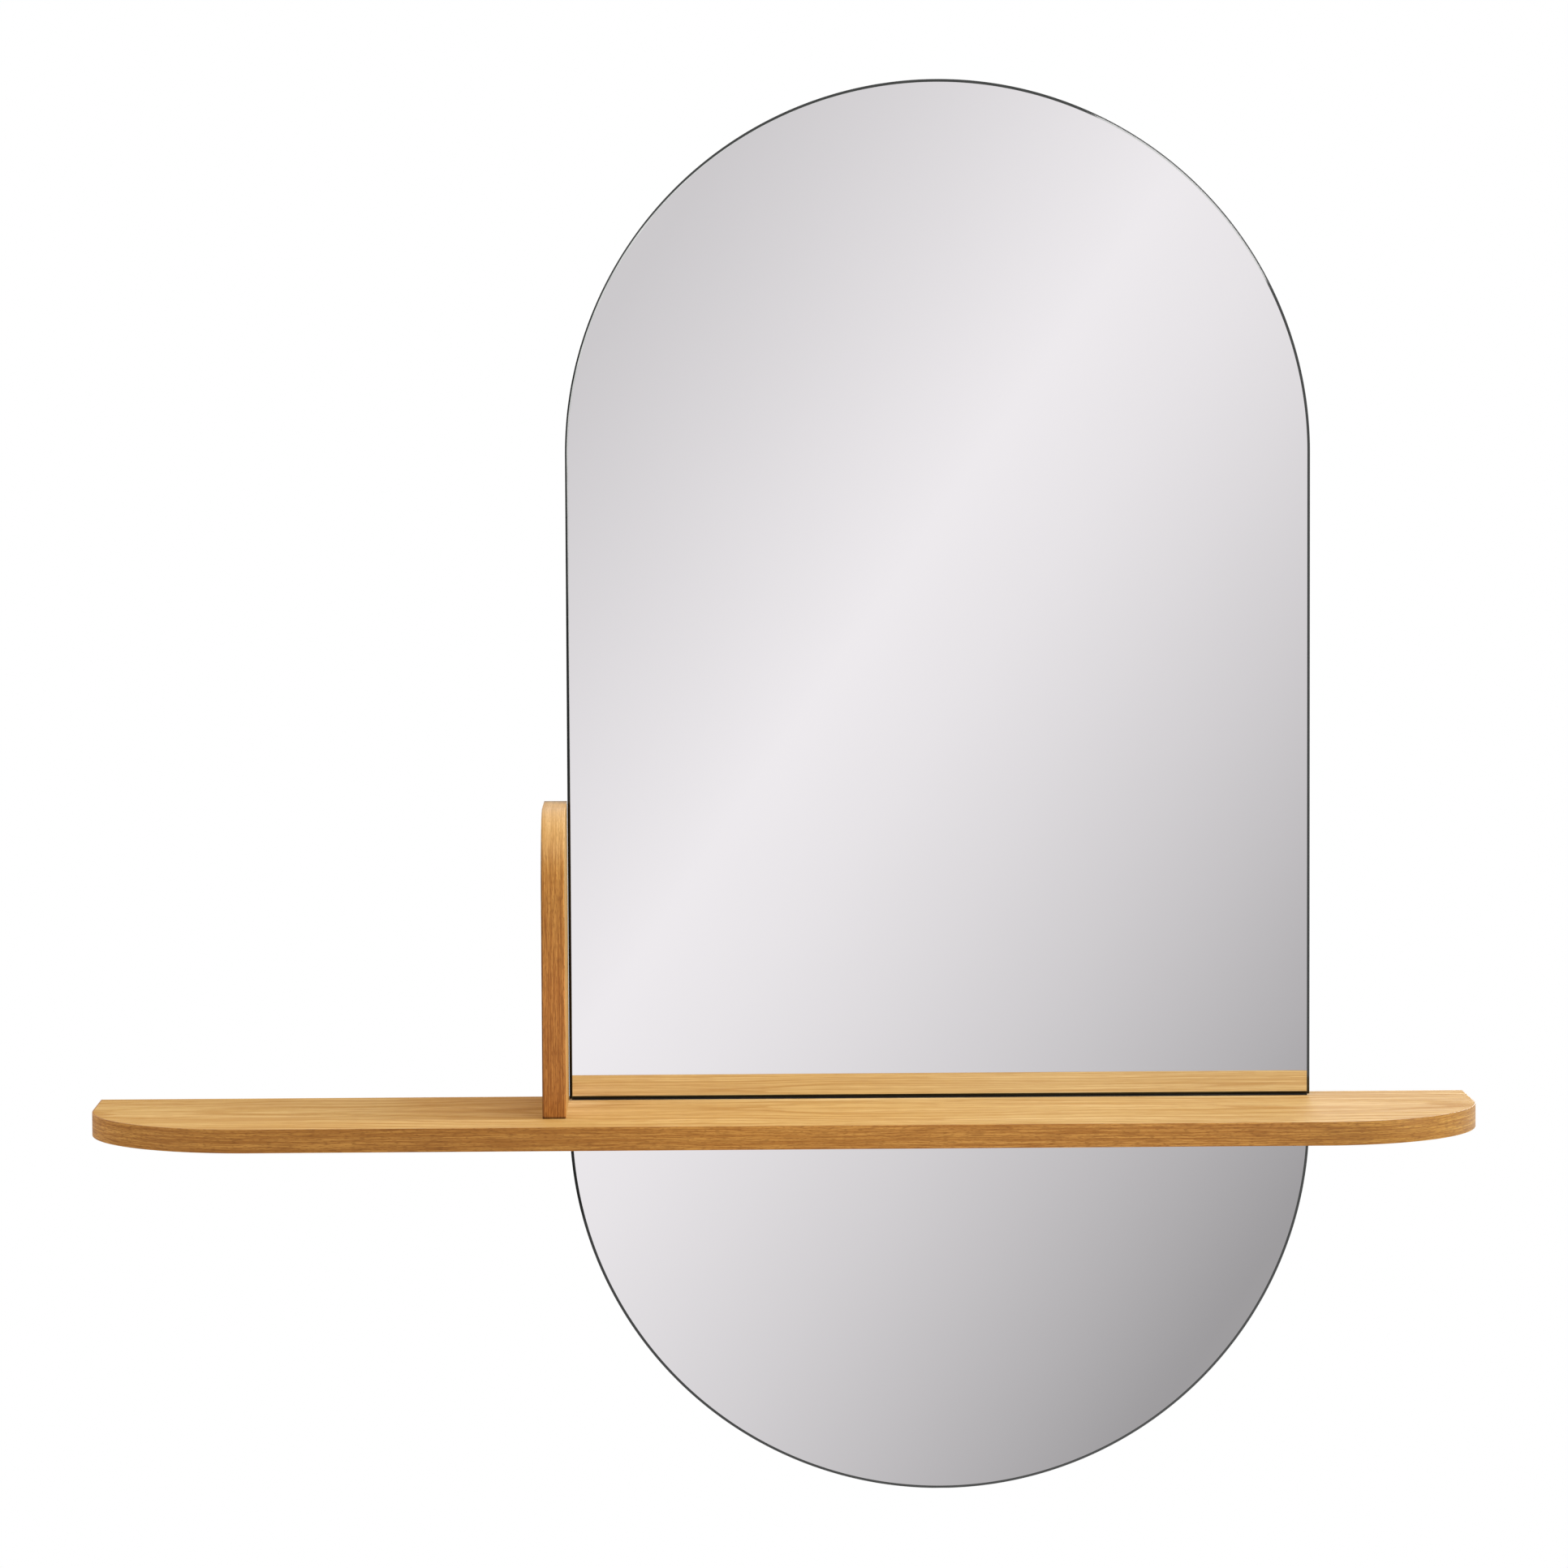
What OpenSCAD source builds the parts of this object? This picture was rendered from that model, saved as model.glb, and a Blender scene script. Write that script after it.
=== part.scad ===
// Wall mirror with a through shelf and a small upright.
// Millimetres. X runs to the right, Y into the wall, Z up. The wall is the plane y = 0, the room is at
// negative y, and the origin lies on the wall midway between the entry holes of the two upper hangers.

/* [Mirror] */
// Width of both glasses, which is twice the radius of their round ends
mirror_w = 600; // [480:1:760]
// Height of the upper glass, from its straight lower edge to the top of its arch
upper_glass_h = 820; // [640:1:1000]
// Thickness of both glasses
glass_t = 5; // [4:0.5:8]
// Width of the polished arris round the front of each glass
front_arris = 2.4; // [0.5:0.1:2.5]
// Width of the arris round the back of each glass
back_arris = 0.5; // [0.2:0.1:1]
// Gap between the shelf and the glass above it, and the glass below it
glass_gap = 1.1; // [0.6:0.1:3]
// How far the black strip in the upper gap stays behind the glass's front
strip_setback = 2; // [1.5:0.1:3]
// How far the black strip stays short of the glass at each end
strip_inset = 2; // [0:0.5:20]

/* [Backing panel] */
// Thickness of the panel behind both glasses
panel_t = 22; // [18:1:30]
// How far the panel's edge stays inside the glass's edge
panel_inset = 15; // [8:1:30]
// Width of the arris round the panel, front and back
panel_arris = 1; // [0.5:0.1:3]
// Thickness of the tape and adhesive between panel and glass
bond_t = 1; // [0.5:0.1:3]
// Width of each strip of tape
tape_w = 20; // [10:1:40]
// Width of each bead of adhesive
bead_w = 9; // [5:1:15]
// Distance from the glass's edge to the middle of the outer strips of tape
tape_edge = 105; // [75:1:140]
// How far tape and adhesive stay inside the panel's edge
bond_margin = 12; // [5:1:30]

/* [Shelf] */
// How far the shelf reaches past the glass on the left
left_overhang = 381; // [250:1:500]
// How far the shelf reaches past the glass on the right
right_overhang = 128; // [110:1:300]
// Depth of the shelf, from the wall to its front
shelf_d = 205; // [170:1:260]
// Radius of the shelf's two front corners, in plan
shelf_corner_r = 134; // [40:1:140]
// Clearance between the shelf's notch and the panel's edge, at each end
notch_clearance = 0.5; // [0.2:0.1:2]

/* [Upright] */
// Height of the upright above the shelf
upright_h = 241; // [160:1:320]
// Depth of the upright, from the wall to its front
upright_d = 149.5; // [120:0.5:160]
// Radius of the upright's top front corner
upright_corner_r = 68; // [20:1:100]
// Gap between the upright and the glass's left edge
upright_gap = 0.7; // [0.5:0.1:10]

/* [Boards] */
// Thickness of the boards' cores
core_t = 18; // [18:0.5:25]
// Thickness of the face veneers
veneer_t = 0.3; // [0.3:0.1:1]
// Thickness of the edge bands
band_t = 1; // [0.8:0.1:2]
// Bevel along the outer corners of the edge bands
band_bevel = 0.4; // [0.2:0.1:0.6]
// Glue line between a core and its edge band
glue_line = 0.05; // [0.03:0.01:0.1]

/* [Connecting screws] */
// Radius of the connecting screws' shanks
screw_r = 3.5; // [2.5:0.1:3.5]
// Length of the connecting screws
screw_l = 50; // [45:1:60]
// Radius of the connecting screws' heads
screw_head_r = 5; // [4.5:0.1:5.5]
// Depth of the connecting screws' heads below the surface
screw_recess = 0.5; // [0.2:0.1:1]
// Number of connecting screws between panel and shelf
shelf_screw_count = 5; // [3:1:7]
// Distance from the ends of the notch to the outer connecting screws
shelf_screw_margin = 45; // [30:1:60]
// Distance from the upright's back and front to its connecting screws
upright_screw_margin = 25; // [15:1:30]
// Radius of the covers over the upright's screws
cap_r = 7; // [6.5:0.1:9]
// Thickness of the covers over the upright's screws
cap_t = 1.6; // [1.2:0.1:2.5]

/* [Dowels] */
// Radius of the dowels
dowel_r = 4; // [3:0.5:4]
// Length of the dowels
dowel_l = 30; // [25:1:40]
// How far a dowel sits in the first of the two boards that it joins
dowel_seat = 11; // [8:1:12]
// Clearance round screws, dowels and plates in their holes and recesses
fit = 0.1; // [0.05:0.01:0.2]

/* [Panel hangers] */
// How far the panel hangers' entry holes lie below the top of the mirror
hanger_drop = 240; // [200:1:300]
// Distance from each side of the mirror to the entry hole of the panel hanger nearer to it
hanger_edge = 100; // [80:1:180]
// Width of a panel hanger's plate
hanger_w = 24; // [20:1:40]
// Height of a panel hanger's plate
hanger_h = 50; // [48:1:70]
// Radius of a panel hanger's entry hole
hanger_entry_r = 5.5; // [5:0.1:6]
// Radius of a panel hanger's slot
hanger_slot_r = 2.75; // [2.2:0.05:3]
// Rise of a panel hanger's slot above its entry hole
hanger_rise = 11; // [9:0.5:12]

/* [Shelf hangers] */
// Distance from each end of the shelf to its hanger
wing_hanger_inset = 70; // [40:1:75]
// Width of a shelf hanger's plate
wing_hanger_w = 50; // [44:1:56]
// Height of a shelf hanger's plate
wing_hanger_h = 15; // [14.6:0.1:15.4]
// Radius of a shelf hanger's entry hole
wing_entry_r = 4; // [3.6:0.1:4]
// Radius of a shelf hanger's slot
wing_slot_r = 2.3; // [2.1:0.1:2.4]
// Rise of a shelf hanger's slot above its entry hole
wing_rise = 5; // [4.5:0.1:5.2]

/* [Hanger details] */
// Thickness of the hangers' plates
plate_t = 2; // [1.5:0.1:2.5]
// Corner radius of the hangers' plates
plate_corner_r = 2; // [1:0.5:5]
// Depth of the pocket behind each plate, for the head of the wall screw
pocket_depth = 8; // [6:0.5:12]
// Room round the head of the wall screw in the pocket
pocket_room = 1; // [0.5:0.1:1]
// Radius of the screws that hold the plates
plate_screw_r = 1.75; // [1.5:0.05:2]
// Length of the screws that hold the plates
plate_screw_l = 16; // [12:1:18]
// Distance from the ends of a plate to its screws
plate_screw_margin = 6.5; // [5.5:0.1:8]

/* [Hidden] */
$fn = 96;

OAK_FACE = [0.84, 0.66, 0.43];
OAK_EDGE = [0.70, 0.47, 0.26];
BOARD = [0.62, 0.52, 0.40];
SILVERED = [0.86, 0.86, 0.88];
BLACK = [0.08, 0.08, 0.08];
FOAM = [0.90, 0.90, 0.88];
ADHESIVE = [0.75, 0.73, 0.68];
STEEL = [0.72, 0.72, 0.74];
BEECH = [0.86, 0.74, 0.56];
CAP = [0.80, 0.62, 0.40];

// How far a cutter passes the surface that it cuts
past = 1;

// Mirror and panel
glass_r = mirror_w / 2;
panel_r = glass_r - panel_inset;
bond_r = panel_r - bond_margin;
glass_back = panel_t + bond_t;
glass_front = glass_back + glass_t;

// Heights, from the top of the mirror down
board_t = core_t + 2 * veneer_t;
arch_z = hanger_drop - glass_r;
upper_edge_z = hanger_drop - upper_glass_h;
shelf_top_z = upper_edge_z - glass_gap;
shelf_z = shelf_top_z - board_t;
shelf_mid_z = shelf_z + board_t / 2;
lower_edge_z = shelf_z - glass_gap;

// Tape and adhesive: each bead lies midway between two strips of tape
bond_end = 14;
outer_tape_x = glass_r - tape_edge;
tape_xs = [for (i = [-3, -1, 1, 3]) i * outer_tape_x / 3];
bead_xs = [for (i = [-2, 0, 2]) i * outer_tape_x / 3];

// Shelf, seen from above
shelf_x = -glass_r - left_overhang;
shelf_l = left_overhang + mirror_w + right_overhang;
notch_half = panel_r + notch_clearance;

// Upright
upright_x = -glass_r - upright_gap;
upright_mid_x = upright_x - board_t / 2;

// Connecting screw: a flat on the head, the cone under it, the point and the hexagonal socket
head_flat = 1;
head_cone = 3;
screw_point = 4;
screw_point_r = 1.5;
socket_r = 2.3;
socket_depth = 3;
screw_spare = 1;

// Joint between panel and shelf: dowels midway between the screws
shelf_screw_span = 2 * (notch_half - shelf_screw_margin);
shelf_screw_pitch = shelf_screw_span / (shelf_screw_count - 1);
shelf_screw_xs = [for (i = [0:shelf_screw_count - 1]) i * shelf_screw_pitch - shelf_screw_span / 2];
shelf_dowel_xs = [for (i = [0:shelf_screw_count - 2]) shelf_screw_xs[i] + shelf_screw_pitch / 2];

// Joint between shelf and upright: two dowels between two screws, at equal distances
upright_screw_pitch = (upright_d - 2 * upright_screw_margin) / 3;
upright_screw_depths = [for (i = [0, 3]) upright_screw_margin + i * upright_screw_pitch];
upright_dowel_depths = [for (i = [1, 2]) upright_screw_margin + i * upright_screw_pitch];

// Dowel: its bevelled ends, its flutes and the spare depth of its hole at each end
dowel_bevel = 1;
flute_count = 12;
flute_r = 0.4;
dowel_spare = 0.5;

// Plate screw: a countersunk head, a pointed end and a round drive recess
plate_head_r = 2 * plate_screw_r;
plate_head_flat = 0.3;
plate_screw_point = 3;
plate_screw_point_r = 0.4;
plate_drive_r = 1.2;
plate_drive_depth = 1.2;

// Hangers: the middle of a keyhole lies on the middle of its plate
hanger_xs = [hanger_edge - glass_r, glass_r - hanger_edge];
hanger_mid_z = hanger_rise / 2;
hanger_screw_places = [for (side = [-1, 1]) [0, side * (hanger_h / 2 - plate_screw_margin)]];
wing_xs = [shelf_x + wing_hanger_inset, shelf_x + shelf_l - wing_hanger_inset];
wing_screw_places = [for (side = [-1, 1]) [side * (wing_hanger_w / 2 - plate_screw_margin), 0]];

// ---------- Shapes ----------

// Extrudes a shape, drawn as the mirror is seen from the room, between two distances from the wall
module from_wall(near, far) {
    translate([0, -near, 0]) rotate([90, 0, 0]) linear_extrude(far - near) children();
}

module half_disc(r) {
    intersection() {
        circle(r);
        translate([-r, 0]) square([2 * r, r]);
    }
}

module quarter_disc(r) {
    intersection() {
        circle(r);
        square(r);
    }
}

// An upright slot with round ends whose centres lie rise apart, centred on the origin
module stadium(r, rise) {
    translate([0, rise / 2]) half_disc(r);
    mirror([0, 1]) translate([0, rise / 2]) half_disc(r);
    square([2 * r, rise], center = true);
}

module rounded_rectangle(w, h, r) {
    for (x = [0, 1], y = [0, 1])
        mirror([x, 0]) mirror([0, y]) translate([w / 2 - r, h / 2 - r]) quarter_disc(r);
    square([w - 2 * r, h], center = true);
    square([w, h - 2 * r], center = true);
}

// ---------- Round-ended plates ----------

// A round plate cut along its diameter, standing on the cut, its back on the plane y = 0. Front and back
// are the widths of its two arrises.
module half_round_plate(r, t, front, back) {
    rotate([90, 0, 0]) rotate_extrude(angle = 180) polygon([
        [0, 0], [r - back, 0], [r, back], [r, t - front], [r - front, t], [0, t]
    ]);
}

// A plate between two upright sides, with the same two arrises along them
module straight_sided_plate(r, t, h, front, back) {
    linear_extrude(h) polygon([
        [back - r, 0], [r - back, 0], [r, -back], [r, front - t],
        [r - front, -t], [front - r, -t], [-r, front - t], [-r, -back]
    ]);
}

// ---------- Glass ----------

module half_round_glass() {
    half_round_plate(glass_r, glass_t, front_arris, back_arris);
}

// Cutters for the arrises of a level edge that the glass stands on
module level_arris_cutters() {
    translate([-glass_r - past, 0, 0]) rotate([90, 0, 90]) linear_extrude(mirror_w + 2 * past) {
        polygon([
            [-glass_t - past, front_arris + past], [-glass_t - past, -past],
            [-glass_t + front_arris + past, -past]
        ]);
        polygon([[past, back_arris + past], [past, -past], [-back_arris - past, -past]]);
    }
}

module upper_mirror_glass() {
    straight_h = arch_z - upper_edge_z;
    color(SILVERED) translate([0, -glass_back, upper_edge_z]) difference() {
        union() {
            translate([0, 0, straight_h]) half_round_glass();
            straight_sided_plate(glass_r, glass_t, straight_h, front_arris, back_arris);
        }
        level_arris_cutters();
    }
}

module lower_mirror_glass() {
    color(SILVERED) translate([0, -glass_back, lower_edge_z]) mirror([0, 0, 1]) difference() {
        half_round_glass();
        level_arris_cutters();
    }
}

// The black strip that the upper glass stands on
module glass_seat_strip() {
    w = mirror_w - 2 * strip_inset;
    color(BLACK) translate([-w / 2, strip_setback - glass_front, shelf_top_z])
        cube([w, glass_t - strip_setback, glass_gap]);
}

// ---------- Bond between glass and panel ----------

// How far from the middle of a round end a strip at x may reach
function bond_reach(x, w) = sqrt(pow(bond_r, 2) - pow(abs(x) + w / 2, 2));

module upper_bond(xs, w) {
    low = upper_edge_z + bond_end;
    from_wall(panel_t, glass_back) for (x = xs)
        translate([x - w / 2, low]) square([w, arch_z + bond_reach(x, w) - low]);
}

module lower_bond(xs, w) {
    from_wall(panel_t, glass_back) for (x = xs)
        translate([x - w / 2, lower_edge_z - bond_reach(x, w)]) square([w, bond_reach(x, w) - bond_end]);
}

module upper_foam_tapes() {
    color(FOAM) upper_bond(tape_xs, tape_w);
}

module lower_foam_tapes() {
    color(FOAM) lower_bond(tape_xs, tape_w);
}

module upper_adhesive_beads() {
    color(ADHESIVE) upper_bond(bead_xs, bead_w);
}

module lower_adhesive_beads() {
    color(ADHESIVE) lower_bond(bead_xs, bead_w);
}

// ---------- Connecting screws and dowels ----------

// A connecting screw's outline, head down and pointing up: room widens it, mouth lengthens it below its
// head and spare beyond its point, for its hole
module connecting_screw_shape(room = 0, mouth = 0, spare = 0) {
    rotate_extrude() polygon([
        [0, -mouth], [screw_head_r + room, -mouth], [screw_head_r + room, head_flat],
        [screw_r + room, head_flat + head_cone], [screw_r + room, screw_l - screw_point + spare],
        [screw_point_r + room, screw_l + spare], [0, screw_l + spare]
    ]);
}

module connecting_screw() {
    color(STEEL) difference() {
        connecting_screw_shape();
        translate([0, 0, -past]) cylinder(r = socket_r, h = socket_depth + past, $fn = 6);
    }
}

module connecting_screw_hole() {
    connecting_screw_shape(room = fit, mouth = screw_recess + past, spare = screw_spare);
}

// A dowel that points up, from the plane z = 0
module dowel() {
    color(BEECH) difference() {
        rotate_extrude() polygon([
            [0, 0], [dowel_r - dowel_bevel, 0], [dowel_r, dowel_bevel],
            [dowel_r, dowel_l - dowel_bevel], [dowel_r - dowel_bevel, dowel_l], [0, dowel_l]
        ]);
        for (i = [1:flute_count]) rotate(i * 360 / flute_count) translate([dowel_r, 0, -past])
            cylinder(r = flute_r, h = dowel_l + 2 * past);
    }
}

module dowel_hole() {
    translate([0, 0, -dowel_spare]) cylinder(r = dowel_r + fit, h = dowel_l + 2 * dowel_spare);
}

// From behind the panel into the shelf
module at_shelf_screws() {
    for (x = shelf_screw_xs) translate([x, -screw_recess, shelf_mid_z]) rotate([90, 0, 0]) children();
}

module at_shelf_dowels() {
    for (x = shelf_dowel_xs)
        translate([x, dowel_seat - panel_t, shelf_mid_z]) rotate([90, 0, 0]) children();
}

// From under the shelf into the upright
module at_upright_screws() {
    for (depth = upright_screw_depths)
        translate([upright_mid_x, -depth, shelf_z + screw_recess]) children();
}

module at_upright_dowels() {
    for (depth = upright_dowel_depths)
        translate([upright_mid_x, -depth, shelf_top_z - dowel_seat]) children();
}

module shelf_joint_holes() {
    at_shelf_screws() connecting_screw_hole();
    at_shelf_dowels() dowel_hole();
}

module upright_joint_holes() {
    at_upright_screws() connecting_screw_hole();
    at_upright_dowels() dowel_hole();
}

module shelf_screws() {
    at_shelf_screws() connecting_screw();
}

module shelf_dowels() {
    at_shelf_dowels() dowel();
}

module upright_screws() {
    at_upright_screws() connecting_screw();
}

module upright_dowels() {
    at_upright_dowels() dowel();
}

// Covers under the shelf, each with a plug in its screw's socket
module upright_screw_caps() {
    plug_top = screw_recess + socket_depth - fit;
    bevel = cap_t / 2;
    color(CAP) for (depth = upright_screw_depths) translate([upright_mid_x, -depth, shelf_z]) {
        rotate_extrude() polygon([
            [0, -cap_t], [cap_r - bevel, -cap_t], [cap_r, -bevel], [cap_r, 0], [0, 0]
        ]);
        translate([0, 0, -bevel]) cylinder(r = socket_r - fit, h = plug_top + bevel, $fn = 6);
    }
}

// ---------- Hangers ----------

// A plate screw's outline, pointing up: room, mouth and spare as for a connecting screw
module plate_screw_shape(room = 0, mouth = 0, spare = 0) {
    cone_end = plate_head_flat + plate_head_r - plate_screw_r;
    rotate_extrude() polygon([
        [0, -mouth], [plate_head_r + room, -mouth], [plate_head_r + room, plate_head_flat],
        [plate_screw_r + room, cone_end], [plate_screw_r + room, plate_screw_l - plate_screw_point + spare],
        [plate_screw_point_r + room, plate_screw_l + spare], [0, plate_screw_l + spare]
    ]);
}

module plate_screw() {
    color(STEEL) difference() {
        plate_screw_shape();
        translate([0, 0, -past]) cylinder(r = plate_drive_r, h = plate_drive_depth + past, $fn = 4);
    }
}

module at_plate_screws(places) {
    for (place = places) translate([place[0], 0, place[1]]) rotate([90, 0, 0]) children();
}

module keyhole_plate(w, h, entry_r, slot_r, rise, screw_places) {
    color(STEEL) difference() {
        from_wall(0, plate_t) difference() {
            rounded_rectangle(w, h, plate_corner_r);
            translate([0, -rise / 2]) circle(entry_r);
            translate([-slot_r, -rise / 2]) square([2 * slot_r, rise]);
            translate([0, rise / 2]) half_disc(slot_r);
        }
        at_plate_screws(screw_places) plate_screw_shape(room = fit, mouth = past, spare = past);
    }
}

// What is cut out of a board behind a plate: the plate's own recess, the pocket for the wall screw's
// head and the holes for the plate's screws
module keyhole_recess(w, h, entry_r, rise, screw_places) {
    from_wall(-past, plate_t) rounded_rectangle(w + 2 * fit, h + 2 * fit, plate_corner_r + fit);
    from_wall(0, plate_t + pocket_depth) stadium(entry_r + pocket_room, rise);
    at_plate_screws(screw_places) plate_screw_shape(room = fit, mouth = past, spare = past);
}

module at_panel_hanger(side) {
    translate([hanger_xs[side], 0, hanger_mid_z]) children();
}

module at_wing_hanger(side) {
    translate([wing_xs[side], 0, shelf_mid_z]) children();
}

module panel_hanger(side) {
    at_panel_hanger(side) keyhole_plate(
        hanger_w, hanger_h, hanger_entry_r, hanger_slot_r, hanger_rise, hanger_screw_places
    );
}

module wing_hanger(side) {
    at_wing_hanger(side) keyhole_plate(
        wing_hanger_w, wing_hanger_h, wing_entry_r, wing_slot_r, wing_rise, wing_screw_places
    );
}

module panel_hanger_left() {
    panel_hanger(0);
}

module panel_hanger_right() {
    panel_hanger(1);
}

module wing_hanger_left() {
    wing_hanger(0);
}

module wing_hanger_right() {
    wing_hanger(1);
}

module panel_hanger_screws() {
    for (side = [0, 1]) at_panel_hanger(side) at_plate_screws(hanger_screw_places) plate_screw();
}

module wing_hanger_screws() {
    for (side = [0, 1]) at_wing_hanger(side) at_plate_screws(wing_screw_places) plate_screw();
}

// ---------- Backing panel ----------

module round_panel_end() {
    half_round_plate(panel_r, panel_t, panel_arris, panel_arris);
}

module backing_panel() {
    straight_h = arch_z - lower_edge_z;
    color(BLACK) difference() {
        union() {
            translate([0, 0, arch_z]) round_panel_end();
            translate([0, 0, lower_edge_z])
                straight_sided_plate(panel_r, panel_t, straight_h, panel_arris, panel_arris);
            translate([0, 0, lower_edge_z]) mirror([0, 0, 1]) round_panel_end();
        }
        shelf_joint_holes();
        for (side = [0, 1]) at_panel_hanger(side)
            keyhole_recess(hanger_w, hanger_h, hanger_entry_r, hanger_rise, hanger_screw_places);
    }
}

// ---------- Boards ----------

// A board lying flat, its back on the plane y = 0 and its left end on x = 0, with its front right corner
// rounded, and its front left one too if both is true. Inset draws back every banded edge.
module board_outline(l, d, r, inset, both) {
    left = both ? inset : 0;
    front_left = both ? r : 0;
    translate([left, r - d]) square([l - inset - left, d - r]);
    translate([front_left, inset - d]) square([l - r - front_left, r - inset]);
    translate([l - r, r - d]) rotate(-90) quarter_disc(r - inset);
    if (both) translate([r, r - d]) rotate(180) quarter_disc(r - inset);
}

// A band in section: its outer face on x = 0, its thickness along x and its height along y
module band_section() {
    inner = band_t - glue_line;
    polygon([
        [inner, 0], [inner, board_t], [band_bevel, board_t],
        [0, board_t - band_bevel], [0, band_bevel], [band_bevel, 0]
    ]);
}

// Runs along X from the origin, its outer face towards negative y
module straight_band(l) {
    rotate([90, 0, 90]) linear_extrude(l) band_section();
}

// Round a corner whose centre is the origin, a quarter turn on from X
module corner_band(r) {
    rotate_extrude(angle = 90) translate([r, 0]) mirror([1, 0]) band_section();
}

// The band of the board that board_outline draws
module board_band(l, d, r, both) {
    front_left = both ? r : 0;
    translate([front_left, -d, 0]) straight_band(l - r - front_left);
    translate([l - r, r - d, 0]) rotate(-90) corner_band(r);
    translate([l, r - d, 0]) rotate(90) straight_band(d - r);
    if (both) {
        translate([r, r - d, 0]) rotate(180) corner_band(r);
        rotate(-90) straight_band(d - r);
    }
}

// Shelf: one layer of the board, between two heights above its underside
module shelf_layer(low, high) {
    difference() {
        translate([shelf_x, 0, shelf_z + low]) linear_extrude(high - low)
            board_outline(shelf_l, shelf_d, shelf_corner_r, band_t, true);
        translate([-notch_half, -panel_t, shelf_z - past])
            cube([2 * notch_half, panel_t + past, board_t + 2 * past]);
        shelf_joint_holes();
        upright_joint_holes();
        for (side = [0, 1]) at_wing_hanger(side)
            keyhole_recess(wing_hanger_w, wing_hanger_h, wing_entry_r, wing_rise, wing_screw_places);
    }
}

module shelf_core() {
    color(BOARD) shelf_layer(veneer_t, veneer_t + core_t);
}

module shelf_top_veneer() {
    color(OAK_FACE) shelf_layer(veneer_t + core_t, board_t);
}

module shelf_bottom_veneer() {
    color(OAK_FACE) shelf_layer(0, veneer_t);
}

module shelf_edge_band() {
    color(OAK_EDGE) translate([shelf_x, 0, shelf_z]) board_band(shelf_l, shelf_d, shelf_corner_r, true);
}

// Upright: a board set on end, so that its length rises and its layers follow one another to the left
module on_end() {
    translate([upright_x, 0, shelf_top_z]) rotate([0, -90, 0]) children();
}

module upright_layer(right, left) {
    difference() {
        on_end() translate([0, 0, right]) linear_extrude(left - right)
            board_outline(upright_h, upright_d, upright_corner_r, band_t, false);
        upright_joint_holes();
    }
}

module upright_core() {
    color(BOARD) upright_layer(veneer_t, veneer_t + core_t);
}

module upright_right_veneer() {
    color(OAK_FACE) upright_layer(0, veneer_t);
}

module upright_left_veneer() {
    color(OAK_FACE) upright_layer(veneer_t + core_t, board_t);
}

module upright_edge_band() {
    color(OAK_EDGE) on_end() board_band(upright_h, upright_d, upright_corner_r, false);
}

upper_mirror_glass();
lower_mirror_glass();
glass_seat_strip();
backing_panel();
upper_foam_tapes();
lower_foam_tapes();
upper_adhesive_beads();
lower_adhesive_beads();
shelf_core();
shelf_top_veneer();
shelf_bottom_veneer();
shelf_edge_band();
upright_core();
upright_left_veneer();
upright_right_veneer();
upright_edge_band();
shelf_screws();
shelf_dowels();
upright_screws();
upright_dowels();
upright_screw_caps();
panel_hanger_left();
panel_hanger_right();
panel_hanger_screws();
wing_hanger_left();
wing_hanger_right();
wing_hanger_screws();
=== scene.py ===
"""Mirror with shelf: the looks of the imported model. Metres, in the model's own frame."""

import math

import bmesh
import bpy
from mathutils import Matrix, Vector


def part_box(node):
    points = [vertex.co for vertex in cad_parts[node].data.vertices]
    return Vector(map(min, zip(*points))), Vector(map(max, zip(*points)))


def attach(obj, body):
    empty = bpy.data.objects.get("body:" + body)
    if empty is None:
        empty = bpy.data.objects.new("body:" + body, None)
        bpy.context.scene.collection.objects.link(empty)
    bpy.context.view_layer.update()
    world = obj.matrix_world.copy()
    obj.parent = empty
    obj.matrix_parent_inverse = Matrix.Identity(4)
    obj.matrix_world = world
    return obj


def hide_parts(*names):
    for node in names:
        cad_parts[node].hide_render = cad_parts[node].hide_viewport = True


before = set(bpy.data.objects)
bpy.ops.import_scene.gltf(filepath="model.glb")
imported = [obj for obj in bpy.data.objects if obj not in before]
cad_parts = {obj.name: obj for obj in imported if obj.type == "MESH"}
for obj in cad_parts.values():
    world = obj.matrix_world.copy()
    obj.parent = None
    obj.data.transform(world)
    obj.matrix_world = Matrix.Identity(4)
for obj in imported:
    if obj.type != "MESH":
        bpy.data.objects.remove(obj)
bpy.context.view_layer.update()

MM = 0.001


# ---------- Colours ----------

def linear(red, green, blue):
    """A colour given as 0 to 255 on screen, as the linear numbers that a shader takes."""
    def channel(c):
        c /= 255
        return c / 12.92 if c <= 0.04045 else ((c + 0.055) / 1.055) ** 2.4
    return (channel(red), channel(green), channel(blue), 1)


# ---------- Shader nodes ----------

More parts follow.
